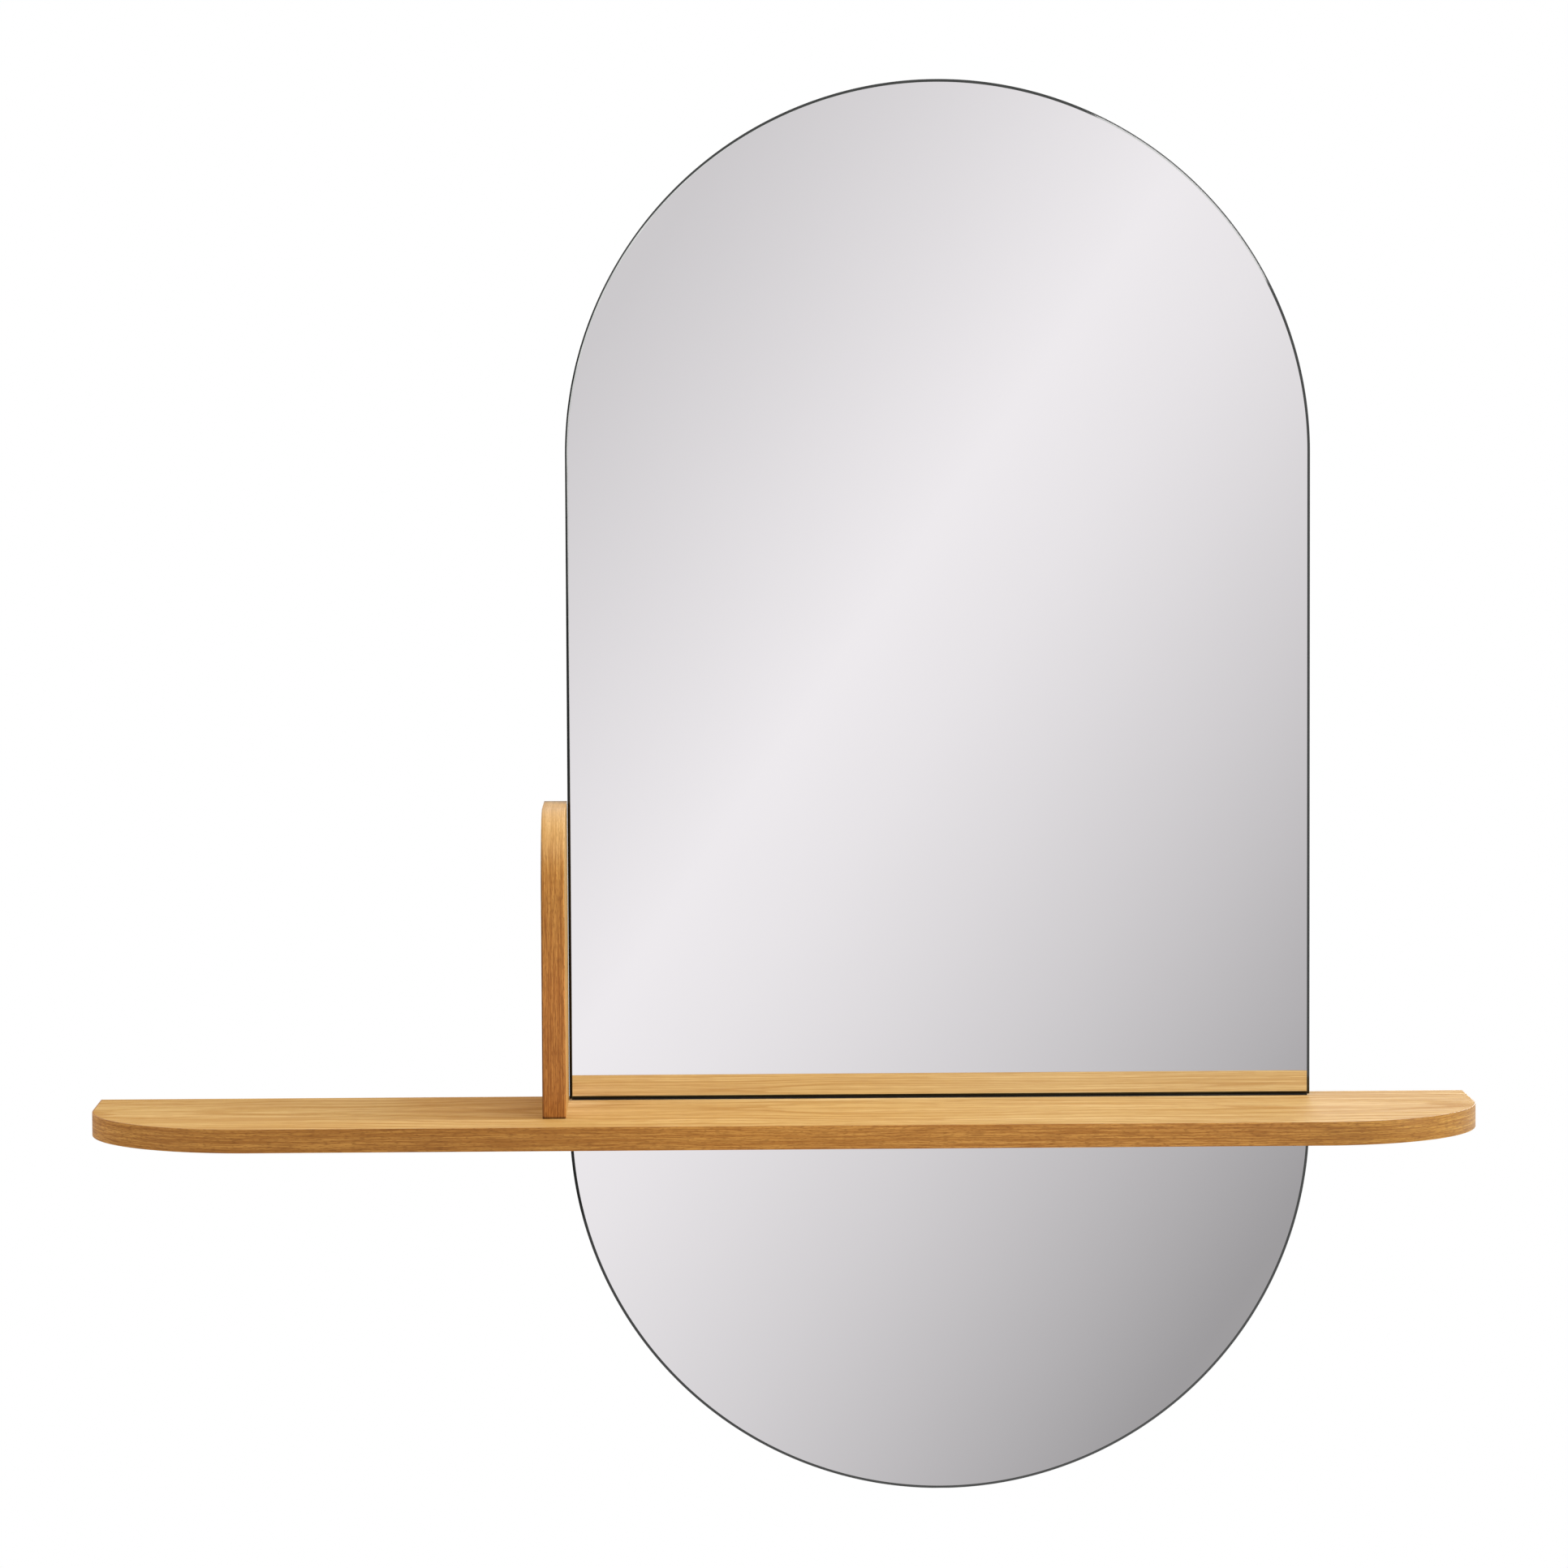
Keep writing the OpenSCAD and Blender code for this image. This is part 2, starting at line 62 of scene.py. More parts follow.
class Graph:
    """The node tree of a material or the world, with a short call for each kind of node used here."""

    def __init__(self, tree):
        self.tree = tree

    def feed(self, socket, value):
        if isinstance(value, bpy.types.NodeSocket):
            self.tree.links.new(value, socket)
        else:
            socket.default_value = value

    def node(self, kind, inputs=(), **settings):
        made = self.tree.nodes.new("ShaderNode" + kind)
        for key, value in settings.items():
            setattr(made, key, value)
        for key, value in dict(inputs).items():
            self.feed(made.inputs[key], value)
        return made

    def math(self, operation, a, b=0.0, c=0.0):
        return self.node("Math", {0: a, 1: b, 2: c}, operation=operation).outputs[0]

    def product(self, first, *others):
        for other in others:
            first = self.math("MULTIPLY", first, other)
        return first

    def tinted(self, color, tone):
        """A colour with each channel multiplied by that of tone."""
        return self.node("VectorMath", {0: color, 1: tone}, operation="MULTIPLY").outputs[0]

    def combine(self, x=0.0, y=0.0, z=0.0):
        return self.node("CombineXYZ", {0: x, 1: y, 2: z}).outputs[0]

    def noise(self, place, scale=1.0, detail=2.0, rough=0.5):
        """Noise between 0 and 1, about 0.5."""
        made = self.node("TexNoise", {"Vector": place, "Scale": scale, "Detail": detail, "Roughness": rough})
        return made.outputs[0]

    def cells(self, place, scale, output="Distance"):
        made = self.node("TexVoronoi", {"Vector": place, "Scale": scale})
        return made.outputs[output]

    def span(self, value, low, high, to_low=0.0, to_high=1.0, smooth=False):
        """Maps low...high to to_low...to_high, clamped."""
        kind = "SMOOTHSTEP" if smooth else "LINEAR"
        inputs = {"Value": value, "From Min": low, "From Max": high, "To Min": to_low, "To Max": to_high}
        return self.node("MapRange", inputs, interpolation_type=kind).outputs[0]

    def ramp(self, value, stops):
        """A ramp through stops of (place, grey or colour)."""
        made = self.node("ValToRGB", {"Fac": value})
        elements = made.color_ramp.elements
        while len(elements) < len(stops):
            elements.new(0.5)
        for element, (place, shade) in zip(elements, stops):
            element.position = place
            element.color = shade if isinstance(shade, tuple) else (shade, shade, shade, 1)
        return made.outputs[0]

    def mix(self, factor, a, b, blend="MIX"):
        inputs = {0: factor, 6: a, 7: b}
        return self.node("Mix", inputs, data_type="RGBA", blend_type=blend).outputs[2]

    def bump(self, height, depth, strength=1.0):
        """Depth is in metres, for a height from 0 to 1."""
        inputs = {"Height": height, "Distance": depth, "Strength": strength}
        return self.node("Bump", inputs).outputs[0]


class Surface(Graph):
    """A material with one Principled shader."""

    def __init__(self, name):
        self.material = bpy.data.materials.new(name)
        self.material.use_nodes = True
        super().__init__(self.material.node_tree)
        self.shader = self.tree.nodes["Principled BSDF"]
        self.place = self.node("TexCoord").outputs["Object"]

    def set(self, **inputs):
        names = {"color": "Base Color", "rough": "Roughness", "metal": "Metallic", "normal": "Normal",
                 "ior": "IOR", "specular": "Specular IOR Level", "coat": "Coat Weight",
                 "coat_rough": "Coat Roughness"}
        for key, value in inputs.items():
            self.feed(self.shader.inputs[names[key]], value)
        return self.material

    def axes(self):
        return self.node("SeparateXYZ", {0: self.place}).outputs

    def stretched(self, x, y, z):
        """The object's own place, scaled by x, y and z."""
        return self.node("VectorMath", {0: self.place, 1: (x, y, z)}, operation="MULTIPLY").outputs[0]


# ---------- Materials ----------

GLASS_RADIUS = 300 * MM
FRONT_ARRIS = 2.4 * MM


def mirror_face():
    s = Surface("mirror_face")
    haze = s.noise(s.place, 6, 3)
    color = s.mix(haze, (0.91, 0.9, 0.857, 1), (0.926, 0.916, 0.873, 1))
    waves = s.noise(s.stretched(5, 5, 2.5), 1, 1)
    return s.set(color=color, metal=1.0, rough=s.span(haze, 0.3, 0.7, 0.004, 0.012),
                 normal=s.bump(waves, 0.004 * MM))


def glass_edge(name, lit_about=None):
    """A polished arris, black. Lit_about is the height of the arch's centre on a glass whose arris also
    gets a painted reflection, silver grey, on the upper left, within a dark outer line."""
    s = Surface(name)
    cloud = s.noise(s.place, 40, 3)
    color = s.mix(cloud, (0.002, 0.003, 0.0025, 1), (0.006, 0.008, 0.006, 1))
    grind = s.noise(s.place, 900, 2)
    if lit_about is not None:
        x, _, z = s.axes()
        rise = s.math("SUBTRACT", z, lit_about)
        arch = s.math("MAXIMUM", rise, 0.0)
        reach = s.math("SQRT", s.math("MULTIPLY_ADD", x, x, s.math("MULTIPLY", arch, arch)))
        turn = s.math("ARCTAN2", rise, s.math("MULTIPLY", x, -1.0))
        line = s.ramp(s.span(turn, -1.0, 1.7), [(0.0, 1.0), (0.12, 0.85), (0.37, 0.5), (0.6, 0.5),
                                               (0.75, 0.8), (1.0, 1.0)])
        inset = s.math("DIVIDE", s.math("SUBTRACT", GLASS_RADIUS, reach), FRONT_ARRIS)
        inner = s.span(s.math("SUBTRACT", inset, line), 0.0, 0.12)
        on_arris = s.span(inset, 1.0, 1.1, 1.0, 0.0)
        # Painted reflection: silver grey on the arris's inner part, on the upper left
        silver = s.product(inner, on_arris, s.span(cloud, 0.3, 0.7, 0.75, 1.0))
        color = s.mix(silver, color, (0.62, 0.63, 0.62, 1))
    return s.set(color=color, rough=s.span(grind, 0.3, 0.7, 0.05, 0.14), ior=1.52, specular=0.5,
                 normal=s.bump(grind, 0.01 * MM))


def back_paint():
    s = Surface("back_paint")
    cloud = s.noise(s.place, 14, 4)
    peel = s.noise(s.place, 420, 2)
    color = s.mix(cloud, linear(96, 101, 104), linear(112, 117, 119))
    return s.set(color=color, rough=s.span(peel, 0.3, 0.7, 0.42, 0.58), normal=s.bump(peel, 0.03 * MM))


def oak_face(name, along, across, middle, narrow, tone_and_painted_light=None):
    """Flat-sawn veneer. Along and across are the axes of the grain and of the sheet's width; the growth
    rings are nearest to the heart at narrow along the grain, and their middle line lies at middle."""
    s = Surface(name)
    axes = s.axes()
    u, v = axes[along], axes[across]

    def grain(u_scale, v_scale, detail=2.0, shift=0.0):
        place = s.combine(s.math("MULTIPLY", u, u_scale), s.math("MULTIPLY", v, v_scale), shift)
        return s.noise(place, 1, detail)

    v = s.math("MULTIPLY_ADD", grain(4.5, 7, 2, 51.0), 0.04, s.math("ADD", v, -0.02))

    # Growth rings: how far each point lies from the heart of the tree
    sway = s.math("MULTIPLY_ADD", grain(2.2, 0, 1), 0.075, -0.0375 + middle)
    side = s.math("SUBTRACT", v, sway)
    away = s.math("MULTIPLY", s.math("SUBTRACT", u, narrow), 0.085)
    depth = s.math("SQRT", s.math("MULTIPLY_ADD", away, away, 0.0002))
    depth = s.math("ADD", depth, s.math("MULTIPLY_ADD", grain(4.5, 3, 1, 3.0), 0.022, 0.022))
    radius = s.math("SQRT", s.math("MULTIPLY_ADD", side, side, s.math("MULTIPLY", depth, depth)))
    radius = s.math("ADD", radius, s.math("MULTIPLY", grain(5.5, 28, 3, 7.0), 0.014))
    ring_width = 12.5 * MM
    ring = s.math("FRACT", s.math("DIVIDE", radius, ring_width))
    early = s.ramp(ring, [(0.0, 0.2), (0.05, 0.95), (0.14, 1.0), (0.34, 0.3), (0.65, 0.05), (1.0, 0.2)])

    # Fibres, from broad streaks to fine lines
    broad = grain(1.6, 26, 2, 11.0)
    band = grain(4.5, 75, 3, 21.0)
    pale = grain(6, 60, 3, 41.0)
    fleck = grain(40, 130, 2, 31.0)
    streak = grain(7, 240, 3, 5.0)
    fine = grain(22, 900, 2, 9.0)
    pores = s.span(grain(95, 2600, 1, 2.0), 0.56, 0.68)
    pores = s.math("MULTIPLY", pores, s.math("MULTIPLY_ADD", early, 0.75, 0.2))
    patch = s.span(grain(3, 22, 1, 15.0), 0.35, 0.62, 0.35, 1.0, smooth=True)

    gold, brown = linear(180, 131, 66), linear(182, 134, 68)
    color = s.mix(s.span(broad, 0.3, 0.7), linear(203, 162, 95), linear(211, 172, 107))
    color = s.mix(s.span(pale, 0.5, 0.62, 0.0, 0.6), color, linear(222, 184, 120))
    color = s.mix(s.span(band, 0.5, 0.6, 0.0, 0.6), color, brown)
    color = s.mix(s.span(fleck, 0.5, 0.62, 0.0, 0.4), color, brown)
    color = s.mix(s.product(early, patch, 0.75), color, gold)
    color = s.mix(s.span(streak, 0.48, 0.72, 0.0, 0.5), color, gold)
    color = s.mix(s.span(fine, 0.5, 0.75, 0.0, 0.4), color, gold)
    color = s.mix(s.math("MULTIPLY", pores, 0.5), color, linear(140, 92, 44))
    # Tone along the wood, with any painted light and shade
    if tone_and_painted_light:
        color = s.tinted(color, tone_and_painted_light(s, u, axes[across]))
    rough = s.math("MULTIPLY_ADD", early, 0.08, s.span(streak, 0.3, 0.7, 0.54, 0.64))
    height = s.math("SUBTRACT", s.math("MULTIPLY", fine, 0.35), pores)
    height = s.math("SUBTRACT", height, s.math("MULTIPLY", early, 0.3))
    return s.set(color=color, rough=rough, specular=0.045, normal=s.bump(height, 0.05 * MM, 0.6))


def top_tone_and_painted_light(s, x, y):
    """Paler about the heart of the grain. Painted light makes it paler at the glass and beside the upright's
    right side; a painted shadow of the upright makes it darker and redder at the back left, and painted shade
    a little darker at the right."""
    heart = s.span(s.math("ABSOLUTE", s.math("SUBTRACT", x, 0.15)), 0.05, 0.25, 1.0, 0.0, smooth=True)
    # Painted shade: a little darker towards the right end
    tone = s.span(x, 0.12, 0.38, 1.0, 0.9)
    # Painted shadow of the upright on the shelf's back left
    dark = s.product(s.span(x, -0.47, -0.4, smooth=True), s.span(x, -0.325, -0.3, 1.0, 0.0),
                     s.span(y, -0.18, -0.09))
    # Painted light beside the upright's right side, where the upright shades the shelf
    fading = s.span(x, -0.3, -0.24, 1.0, 0.0)
    beside = s.product(fading, fading, s.span(x, -0.315, -0.303), s.span(y, -0.17, -0.05))
    # Painted light on the shelf just in front of the glass, which shades it
    under_glass = s.span(s.math("ABSOLUTE", x), GLASS_RADIUS - 2 * MM, GLASS_RADIUS + 2 * MM, 1.0, 0.0)
    painted_light_at_glass = s.product(under_glass, s.span(y, -0.047, -0.03), s.span(x, 0.0, 0.28, 1.0, 0.3))
    red = s.math("MULTIPLY_ADD", dark, -0.12, s.math("MULTIPLY_ADD", beside, 0.3, 1.0))
    red = s.math("MULTIPLY_ADD", painted_light_at_glass, 0.35, red)
    green = s.math("MULTIPLY_ADD", dark, -0.23, s.math("MULTIPLY_ADD", heart, 0.05, 1.0))
    green = s.math("MULTIPLY_ADD", beside, 0.5, s.math("MULTIPLY_ADD", painted_light_at_glass, 0.55, green))
    blue = s.math("MULTIPLY_ADD", dark, -0.45, s.math("MULTIPLY_ADD", heart, 0.22, 1.0))
    blue = s.math("MULTIPLY_ADD", beside, 1.1, s.math("MULTIPLY_ADD", painted_light_at_glass, 1.1, blue))
    return s.combine(s.math("MULTIPLY", tone, red), s.math("MULTIPLY", tone, green),
                     s.math("MULTIPLY", tone, blue))


def right_side_painted_shade(s, z, _):
    """Painted shade: a little darker than the other side, but for the part near the shelf."""
    shade = s.span(z, -0.57, -0.4, smooth=True)
    shaded_red_green = s.math("MULTIPLY_ADD", shade, -0.14, 1.0)
    return s.combine(shaded_red_green, shaded_red_green, s.math("MULTIPLY_ADD", shade, -0.12, 1.0))


def oak_edge(name, tone_and_painted_light):
    """Edge band with its grain along U. U and V are metres along and across the band. The function passed in
    gives the slow change of the wood's tone along it, with painted shade, highlights and sheen, and how
    strongly its grain shows."""
    s = Surface(name)
    uv = s.node("UVMap").outputs[0]
    axes = s.node("SeparateXYZ", {0: uv}).outputs
    u = axes[0]
    bend = s.noise(s.combine(s.math("MULTIPLY", u, 9), s.math("MULTIPLY", axes[1], 40)), 1, 2)
    v = s.math("MULTIPLY_ADD", bend, 0.004, axes[1])

    def grain(u_scale, v_scale, detail=2.0, shift=0.0):
        place = s.combine(s.math("MULTIPLY", u, u_scale), s.math("MULTIPLY", v, v_scale), shift)
        return s.noise(place, 1, detail)

    broad = grain(2.2, 110, 2, 1.0)
    streak = grain(5, 640, 3, 5.0)
    fine = grain(22, 1200, 2, 9.0)
    dashes = s.span(grain(50, 1050, 1, 2.0), 0.54, 0.62)
    ticks = s.span(grain(180, 1250, 1, 4.0), 0.54, 0.62)
    base = s.mix(s.span(broad, 0.3, 0.7), linear(179, 125, 52), linear(191, 137, 64))
    line = linear(146, 89, 22)
    color = s.mix(s.span(streak, 0.47, 0.57, 0.0, 0.65), base, line)
    color = s.mix(s.span(fine, 0.46, 0.58, 0.0, 0.65), color, line)
    color = s.mix(s.math("MULTIPLY", dashes, 0.5), color, linear(126, 74, 10))
    color = s.mix(s.math("MULTIPLY", ticks, 0.5), color, linear(122, 72, 8))
    tone, strength = tone_and_painted_light(s, u, axes[1])
    color = s.mix(strength, linear(172, 117, 46), color)
    color = s.tinted(color, tone)
    rough = s.span(streak, 0.3, 0.7, 0.45, 0.58)
    height = s.math("SUBTRACT", s.math("MULTIPLY", fine, 0.4), dashes)
    return s.set(color=color, rough=rough, specular=0.1, coat=0.45, coat_rough=0.4,
                 normal=s.bump(height, 0.06 * MM, 0.2))


SHELF_BAND_LENGTH = 1404 * MM


def shelf_tone_and_painted_sheen(s, u, _):
    """Darker strips to the left of the upright and near the right corner, a painted sheen at the left corner,
    and greener towards the right.
    """
    # The stop at 0.08 is the painted sheen at the left corner
    tone = s.ramp(s.span(u, 0, SHELF_BAND_LENGTH),
                  [(0.0, 1.0), (0.08, 1.15), (0.12, 0.87), (0.19, 0.81), (0.3, 0.8), (0.36, 0.87),
                   (0.46, 1.0), (0.74, 0.93), (0.82, 0.79), (0.88, 0.96), (0.93, 1.0)])
    tone = s.math("MULTIPLY", tone, 1.12)
    green = s.product(tone, s.span(tone, 0.8, 1.1, 0.95, 1.0), s.span(u, 1.1, 1.26, 1.0, 1.13))
    blue = s.math("MULTIPLY", tone, s.span(tone, 0.8, 1.1, 0.8, 1.0))
    return s.combine(tone, green, blue), 1.0


def upright_tone_and_painted_light(s, u, v):
    """Redder and darker at the foot, a painted shade, with painted shadow where it meets the shelf and at its
    far end.
    Round the bend it is pale, partly the faces' own tone and partly a painted sheen, and as pale as the faces
    beyond it. A painted highlight runs along its right edge, and a painted shadow along its left one below
    the bend."""
    low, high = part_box("upright_edge_band")
    width = high[0] - low[0]
    # Painted shade: redder and darker towards the foot
    foot = s.span(u, 0.0, 0.11, 1.0, 0.0)
    # Paler round the bend, partly the faces' own tone and partly a painted sheen
    bend = s.span(u, 0.18, 0.26, smooth=True)
    middle = s.span(u, 0.1, 0.17, 1.0, 0.0)
    beyond = s.span(u, 0.265, 0.3, smooth=True)
    # Painted shadow where the band meets the shelf
    painted_foot_shadow = s.span(u, 0.0008, 0.0022, 0.35, 1.0)
    red = s.math("MULTIPLY_ADD", foot, -0.09, s.math("MULTIPLY_ADD", bend, 0.42, 1.04))
    red = s.math("MULTIPLY_ADD", beyond, -0.06, red)
    green = s.math("MULTIPLY_ADD", foot, -0.06, s.math("MULTIPLY_ADD", bend, 0.98, 0.98))
    green = s.math("MULTIPLY_ADD", beyond, -0.28, s.math("MULTIPLY_ADD", middle, -0.1, green))
    blue = s.math("MULTIPLY_ADD", bend, s.math("MULTIPLY_ADD", bend, 2.0, 1.6), 0.95)
    blue = s.math("MULTIPLY_ADD", foot, -0.1, blue)
    blue = s.math("MULTIPLY_ADD", beyond, -2.6, s.math("MULTIPLY_ADD", middle, -0.1, blue))
    # Painted shadow along the back end of the top
    end = s.span(u, 0.3535, 0.3565, 1.0, 0.45)
    # Painted shadow along the left edge, deepest below the bend
    left = s.span(v, width - 0.6 * MM, width - 0.1 * MM)
    left = s.math("MULTIPLY_ADD", left, s.span(bend, 0.3, 1.0, -0.5, -0.15), 1.0)
    shade = s.product(painted_foot_shadow, end, left)
    # Painted highlight along the right edge, weaker round the bend
    painted_edge_highlight = s.product(s.span(v, 1.3 * MM, 1.8 * MM, 1.0, 0.0), s.span(bend, 0.0, 1.0, 1.0, 0.15))
    red = s.product(red, shade, s.math("MULTIPLY_ADD", painted_edge_highlight, 0.45, 1.0))
    green = s.product(green, shade, s.math("MULTIPLY_ADD", painted_edge_highlight, 0.6, 1.0))
    blue = s.product(blue, shade, s.math("MULTIPLY_ADD", painted_edge_highlight, 1.1, 1.0))
    tone = s.combine(red, green, blue)
    return tone, s.span(bend, 0.0, 1.0, 1.0, 0.45)


def black_panel():
    s = Surface("black_panel")
    cloud = s.noise(s.place, 9, 4)
    peel = s.noise(s.place, 620, 3)
    color = s.mix(cloud, (0.022, 0.022, 0.023, 1), (0.034, 0.033, 0.033, 1))
    fibres = s.noise(s.stretched(240, 900, 240), 1, 2)
    height = s.math("ADD", s.math("MULTIPLY", peel, 0.7), s.math("MULTIPLY", fibres, 0.3))
    return s.set(color=color, rough=s.span(cloud, 0.3, 0.7, 0.56, 0.7), normal=s.bump(height, 0.06 * MM))


def fibreboard():
    s = Surface("fibreboard")
    cloud = s.noise(s.place, 30, 3)
    chips = s.noise(s.stretched(900, 900, 2200), 1, 3)
    specks = s.span(s.noise(s.place, 1500, 1), 0.62, 0.72)
    color = s.mix(s.span(chips, 0.3, 0.7), linear(176, 146, 112), linear(154, 124, 92))
    color = s.mix(s.math("MULTIPLY", cloud, 0.4), color, linear(140, 112, 84))
    color = s.mix(s.math("MULTIPLY", specks, 0.5), color, linear(96, 72, 52))
    return s.set(color=color, rough=s.span(chips, 0.3, 0.7, 0.8, 0.92), normal=s.bump(chips, 0.12 * MM))


def zinc_steel():
    s = Surface("zinc_steel")
    spangle = s.cells(s.place, 420, output="Color")
    brush = s.noise(s.stretched(2600, 400, 160), 1, 2)
    tone = s.mix(0.25, (0.5, 0.5, 0.5, 1), spangle)
    color = s.mix(tone, (0.4, 0.41, 0.43, 1), (0.54, 0.55, 0.57, 1))
    return s.set(color=color, metal=1.0, rough=s.span(brush, 0.3, 0.7, 0.46, 0.6),
                 normal=s.bump(brush, 0.008 * MM))


def rubber():
    s = Surface("rubber")
    grit = s.noise(s.place, 1400, 2)
    color = s.mix(s.noise(s.place, 60, 2), (0.012, 0.012, 0.012, 1), (0.024, 0.023, 0.022, 1))
    return s.set(color=color, rough=s.span(grit, 0.3, 0.7, 0.68, 0.84), normal=s.bump(grit, 0.03 * MM))


def foam():
    s = Surface("foam")
    bubbles = s.cells(s.place, 1800)
    color = s.mix(s.span(bubbles, 0.1, 0.7), linear(206, 206, 200), linear(236, 236, 231))
    return s.set(color=color, rough=s.span(bubbles, 0.1, 0.7, 0.72, 0.88), normal=s.bump(bubbles, 0.08 * MM))


def adhesive():
    s = Surface("adhesive")
    lumps = s.noise(s.place, 90, 3)
    color = s.mix(lumps, linear(198, 193, 180), linear(216, 212, 201))
    return s.set(color=color, rough=s.span(lumps, 0.3, 0.7, 0.3, 0.46), normal=s.bump(lumps, 0.2 * MM))


def beech():
    s = Surface("beech")
    flecks = s.span(s.noise(s.stretched(1500, 1500, 260), 1, 1), 0.6, 0.7)
    fibres = s.noise(s.stretched(1300, 1300, 120), 1, 3)
    color = s.mix(s.span(fibres, 0.3, 0.7), linear(222, 190, 146), linear(205, 168, 122))
    color = s.mix(s.math("MULTIPLY", flecks, 0.6), color, linear(160, 116, 78))
    return s.set(color=color, rough=s.span(fibres, 0.3, 0.7, 0.55, 0.68), normal=s.bump(fibres, 0.05 * MM))


def cap_plastic():
    s = Surface("cap_plastic")
    print_grain = s.noise(s.stretched(160, 1500, 1500), 1, 3)
    pitting = s.noise(s.place, 1600, 2)
    color = s.mix(s.span(print_grain, 0.35, 0.65), linear(200, 154, 98), linear(184, 136, 82))
    return s.set(color=color, rough=s.span(pitting, 0.3, 0.7, 0.44, 0.58), normal=s.bump(pitting, 0.02 * MM))


# ---------- Building meshes ----------

def smoothed(mesh, angle=30):
    mesh.shade_smooth()
    mesh.set_sharp_from_angle(angle=math.radians(angle))


def add_piece(name, bm, materials, slot, *nodes):
    """Makes the piece that stands for the CAD nodes."""
    mesh = bpy.data.meshes.new(name)
    bm.to_mesh(mesh)
    bm.free()
    for material in materials:
        mesh.materials.append(material)
    smoothed(mesh)
    piece = bpy.data.objects.new(name, mesh)
    bpy.context.scene.collection.objects.link(piece)
    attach(piece, "root")
    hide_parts(*nodes)
    return piece


def bridge(bm, ring_a, ring_b, material):
    """Faces between two closed rings of as many points."""
    count = len(ring_a)
    for i in range(count):
        j = (i + 1) % count
        face = bm.faces.new((ring_a[i], ring_a[j], ring_b[j], ring_b[i]))
        face.material_index = material


# ---------- Glass ----------

BACK_ARRIS = 0.5 * MM
ARRIS_CROWN = 0.05 * MM
ARC_STEPS = 288
CROWN_STEPS = 5
SAME_HEIGHT = 1e-6

# Places of the three materials on a glass
FACE, EDGE, BACK = 0, 1, 2


def glass_outline(radius, centre_z, edge_z, inset):
    """Points round a glass with one round end, in the plane of the wall, drawn in by inset. The round end
    lies on the side of centre_z away from the straight edge; on the half disc both are at one height."""
    arched = centre_z - edge_z > SAME_HEIGHT
    up = 1 if arched else -1
    r = radius - inset
    if arched:
        level = edge_z + inset
        start = 0.0
        corners = [(-r, level), (r, level)]
    else:
        start = math.asin(inset / r)
        corners = []
    arc = []
    for i in range(ARC_STEPS + 1):
        a = start + (math.pi - 2 * start) * i / ARC_STEPS
        arc.append((r * math.cos(a), centre_z + up * r * math.sin(a)))
    return corners + arc


def glass_piece(name, node, materials):
    low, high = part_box(node)
    radius = (high[0] - low[0]) / 2
    front, back = low[1], high[1]
    upper = high[2] - low[2] > 1.01 * radius
    edge_z = low[2] if upper else high[2]
    centre_z = high[2] - radius if upper else edge_z

    section = []
    for i in range(CROWN_STEPS + 1):
        t = i / CROWN_STEPS
        crown = ARRIS_CROWN * math.sin(math.pi * t) / math.sqrt(2)
        section.append(((1 - t) * FRONT_ARRIS - crown, front + t * FRONT_ARRIS - crown))
    section += [(0, back - BACK_ARRIS), (BACK_ARRIS, back)]

    bm = bmesh.new()
    rings = []
    # The CAD's arcs are a little flatter than these, so heights are kept within the node's own box
    for inset, y in section:
        points = glass_outline(radius, centre_z, edge_z, max(inset, 0.0))
        rings.append([bm.verts.new((x, y, min(max(z, low[2]), high[2]))) for x, z in points])
    cap = bm.faces.new(rings[0])
    cap.material_index = FACE
    for ring_a, ring_b in zip(rings, rings[1:]):
        bridge(bm, ring_a, ring_b, EDGE)
    back_face = bm.faces.new(reversed(rings[-1]))
    back_face.material_index = BACK
    bmesh.ops.recalc_face_normals(bm, faces=bm.faces)
    return add_piece(name, bm, materials, "silvered_glass", node)


# ---------- Edge bands ----------

BAND = 0.95 * MM
BAND_ROUND = 0.35 * MM
ROUND_STEPS = 6
CORNER_STEPS = 56


def band_section(half):
    """A band's section as (depth behind its outer face, place across it), from one inner corner round the
    outer face to the other. Half is half its width."""
    points = [(BAND, half)]
    for sign in (1, -1):
        turn = []
        for i in range(ROUND_STEPS + 1):
            a = math.radians(90 * i / ROUND_STEPS)
            turn.append((BAND_ROUND * (1 - math.sin(a)), sign * (half - BAND_ROUND * (1 - math.cos(a)))))
        points += turn if sign > 0 else reversed(turn)
    points.append((BAND, -half))
    return points


def corner(centre, radius, start, end):
    """Path points round a corner, as (place, direction outwards). Start and end are in degrees."""
    steps = []
    for i in range(CORNER_STEPS + 1):
        a = math.radians(start + (end - start) * i / CORNER_STEPS)
        out = (math.cos(a), math.sin(a))
        steps.append(((centre[0] + radius * out[0], centre[1] + radius * out[1]), out))
    return steps


